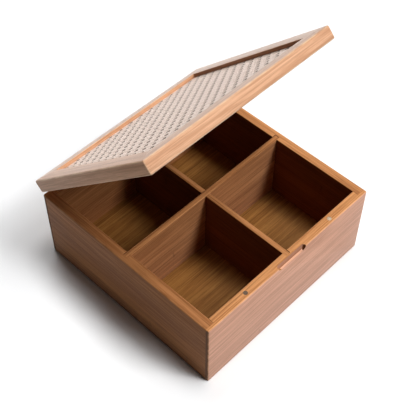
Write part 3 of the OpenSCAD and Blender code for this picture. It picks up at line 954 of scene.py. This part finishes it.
class BOX_OT_add_cane(bpy.types.Operator):
    """Adds the woven cane in the lid"""
    bl_idname = "bamboo_box.add_cane"
    bl_label = "Add Cane"

    def execute(self, context):
        sizes, lid = context.scene.cane_sizes, context.scene.lid_sizes
        self.half = HALF_W - lid.rail + CANE_TUCK
        board_top = LID_Z + lid.panel_z + lid.panel
        self.mid = board_top + sizes.rise + sizes.thick / 2 + 0.02 * MM
        self.co, self.faces, self.run = [], [], []
        pitch, gap = sizes.pitch, sizes.pair / 2
        step = pitch / math.sqrt(2)
        reach = int(self.half * 1.5 / pitch) + 1
        for k in range(-reach, reach + 1):
            for direction in ((1, 1), (-1, 1)):
                for q in (-1, 1):
                    self.add_strand(sizes, direction, k * pitch + q * gap, "pair", q, pitch)
        reach = int(self.half / step) + 1
        for k in range(-reach, reach):
            for direction in ((1, 0), (0, 1)):
                self.add_strand(sizes, direction, (k + 0.5) * step, "single", (-1) ** k, step)
        co = swung(np.concatenate(self.co), LID_OPEN)
        cane = mesh_object("cane_weave", co, self.faces, merge=False)
        layer = cane.data.attributes.new("strand", "FLOAT_VECTOR", "POINT").data
        layer.foreach_set("vector", np.concatenate(self.run).ravel())
        smooth_faces(cane.data, 50)
        cane.data.materials.append(bpy.data.materials["cane_bark"])
        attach(cane, "lid")
        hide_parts("cane_webbing")
        return {"FINISHED"}

    def weave(self, sizes, x, kind, sign, pitch):
        """Height of a strand at x: a pair strand goes under one crossing strand and over the next,
        s sin(pi x / pair) near the crossing; a single strand goes over one pair and under the
        next, s tanh(2.2 cos(pi x / step)), which stays level over the pair."""
        if kind == "pair":
            near = x - np.round(x / pitch) * pitch
            rise = sign * np.sin(np.clip(near / sizes.pair, -1, 1) * math.pi) * sizes.rise * 0.62
            return np.where(np.abs(near) < sizes.pair, rise, 0)
        return sign * np.tanh(2.2 * np.cos(math.pi * (x / pitch - 0.5))) * sizes.rise

    def add_strand(self, sizes, direction, offset, kind, sign, pitch):
        """One strand: a low arched profile carried along its line, from where the line enters the
        square of the cane to where it leaves it. Its weave flattens to a quarter at the rails."""
        d = np.array(direction, float)
        d /= np.linalg.norm(d)
        side = np.array([-d[1], d[0]])
        base = side * offset
        spans = [sorted((s * self.half - base[a]) / d[a] for s in (-1, 1))
                 for a in (0, 1) if abs(d[a]) > 1e-9]
        lo, hi = max(span[0] for span in spans), min(span[1] for span in spans)
        # A strand is at least 3 mm long, and no ring lies within 0.2 mm of its ends.
        if hi - lo < 3 * MM:
            return
        gap = sizes.pair / 2
        if kind == "pair":
            cell = np.array([-gap, 0, gap, 2 * gap, pitch / 2, pitch - 2 * gap])
        else:
            cell = np.array([-2.5, -1.7, 0, 1.7, 2.5]) * MM + pitch / 2
        n = np.arange(math.floor(lo / pitch) - 1, math.ceil(hi / pitch) + 2)
        x = (n[:, None] * pitch + cell).ravel()
        x = x[(x > lo + 0.2 * MM) & (x < hi - 0.2 * MM)]
        x = np.unique(np.concatenate([[lo], x, [hi]]))
        place = base + d * x[:, None]
        inside = np.clip((self.half - 1.4 * MM - np.abs(place).max(1)) / (2 * MM), 0, 1)
        rise = self.weave(sizes, x, kind, sign, pitch) * (0.25 + 0.75 * inside)
        half, t = sizes.strand / 2, sizes.thick
        across = np.array([-half, -half * 0.55, half * 0.55, half, 0])
        above = np.array([-t * 0.1, t * 0.5, t * 0.5, -t * 0.1, -t * 0.5])
        points = len(across)
        flat = place[:, None, :] + side * across[:, None]
        z = self.mid + rise[:, None] + above
        mark = 0.37 * len(self.co) % 11
        run = np.stack([np.broadcast_to(x[:, None], z.shape),
                        np.broadcast_to(across, z.shape), np.full(z.shape, mark)], 2)
        at = np.arange(points)
        nxt = (at + 1) % points
        rows = np.arange(len(x) - 1)[:, None] * points
        start = sum(len(c) for c in self.co)
        quads = np.stack([rows + at, rows + points + at, rows + points + nxt, rows + nxt], 2)
        end = (len(x) - 1) * points
        self.co.append(np.concatenate([flat, z[:, :, None]], 2).reshape(-1, 3))
        self.run.append(run.reshape(-1, 3))
        self.faces += (quads.reshape(-1, 4) + start).tolist()
        self.faces += [(start + at).tolist(), (start + end + at[::-1]).tolist()]


class BOX_OT_finish_hardware(bpy.types.Operator):
    """Gives the magnets, hinges, pins and screws their metal"""
    bl_idname = "bamboo_box.finish_hardware"
    bl_label = "Finish Hardware"

    def execute(self, context):
        # The left magnet gets the darker copy of the metal: painted shade.
        kinds = {"magnet_left": "magnet_dull", "magnet_right": "magnet_nickel",
                 "hinge": "hinge_brass", "screws": "hinge_brass"}
        for name, obj in frame["nodes"].items():
            finish = next((kinds[part] for part in kinds if part in name), None)
            if finish:
                obj.data.materials.clear()
                obj.data.materials.append(bpy.data.materials[finish])
        return {"FINISHED"}


class BOX_PT_sidebar(bpy.types.Panel):
    """Lists the steps that build the box"""
    bl_idname = "BOX_PT_sidebar"
    bl_label = "Bamboo Box"
    bl_space_type = "VIEW_3D"
    bl_region_type = "UI"
    bl_category = "Box"

    def draw(self, context):
        for step in STEPS:
            self.layout.operator(step.bl_idname)
        for group in ("board_sizes", "lid_sizes", "cane_sizes", "finish_colours", "stage_settings"):
            values = getattr(context.scene, group)
            for key in values.bl_rna.properties.keys():
                if key not in ("rna_type", "name"):
                    self.layout.prop(values, key)


GROUPS = {"board_sizes": BoardSizes, "lid_sizes": LidSizes, "cane_sizes": CaneSizes,
          "finish_colours": FinishColours, "stage_settings": StageSettings}
STEPS = (BOX_OT_make_finishes, BOX_OT_add_stage, BOX_OT_add_walls, BOX_OT_add_floor_and_dividers,
         BOX_OT_add_lid_frame, BOX_OT_add_cane, BOX_OT_finish_hardware)
CLASSES = tuple(GROUPS.values()) + STEPS + (BOX_PT_sidebar,)


def register():
    """Registers the classes and puts the settings on the scene."""
    for item in CLASSES:
        bpy.utils.register_class(item)
    for name, kind in GROUPS.items():
        setattr(bpy.types.Scene, name, PointerProperty(type=kind))


def unregister():
    """Takes the settings and the classes away again."""
    for name in GROUPS:
        delattr(bpy.types.Scene, name)
    for item in reversed(CLASSES):
        bpy.utils.unregister_class(item)


def main():
    register()
    bpy.ops.bamboo_box.make_finishes()
    bpy.ops.bamboo_box.add_stage()
    bpy.ops.bamboo_box.add_walls()
    bpy.ops.bamboo_box.add_floor_and_dividers()
    bpy.ops.bamboo_box.add_lid_frame()
    bpy.ops.bamboo_box.add_cane()
    bpy.ops.bamboo_box.finish_hardware()


if __name__ == "__main__":
    main()
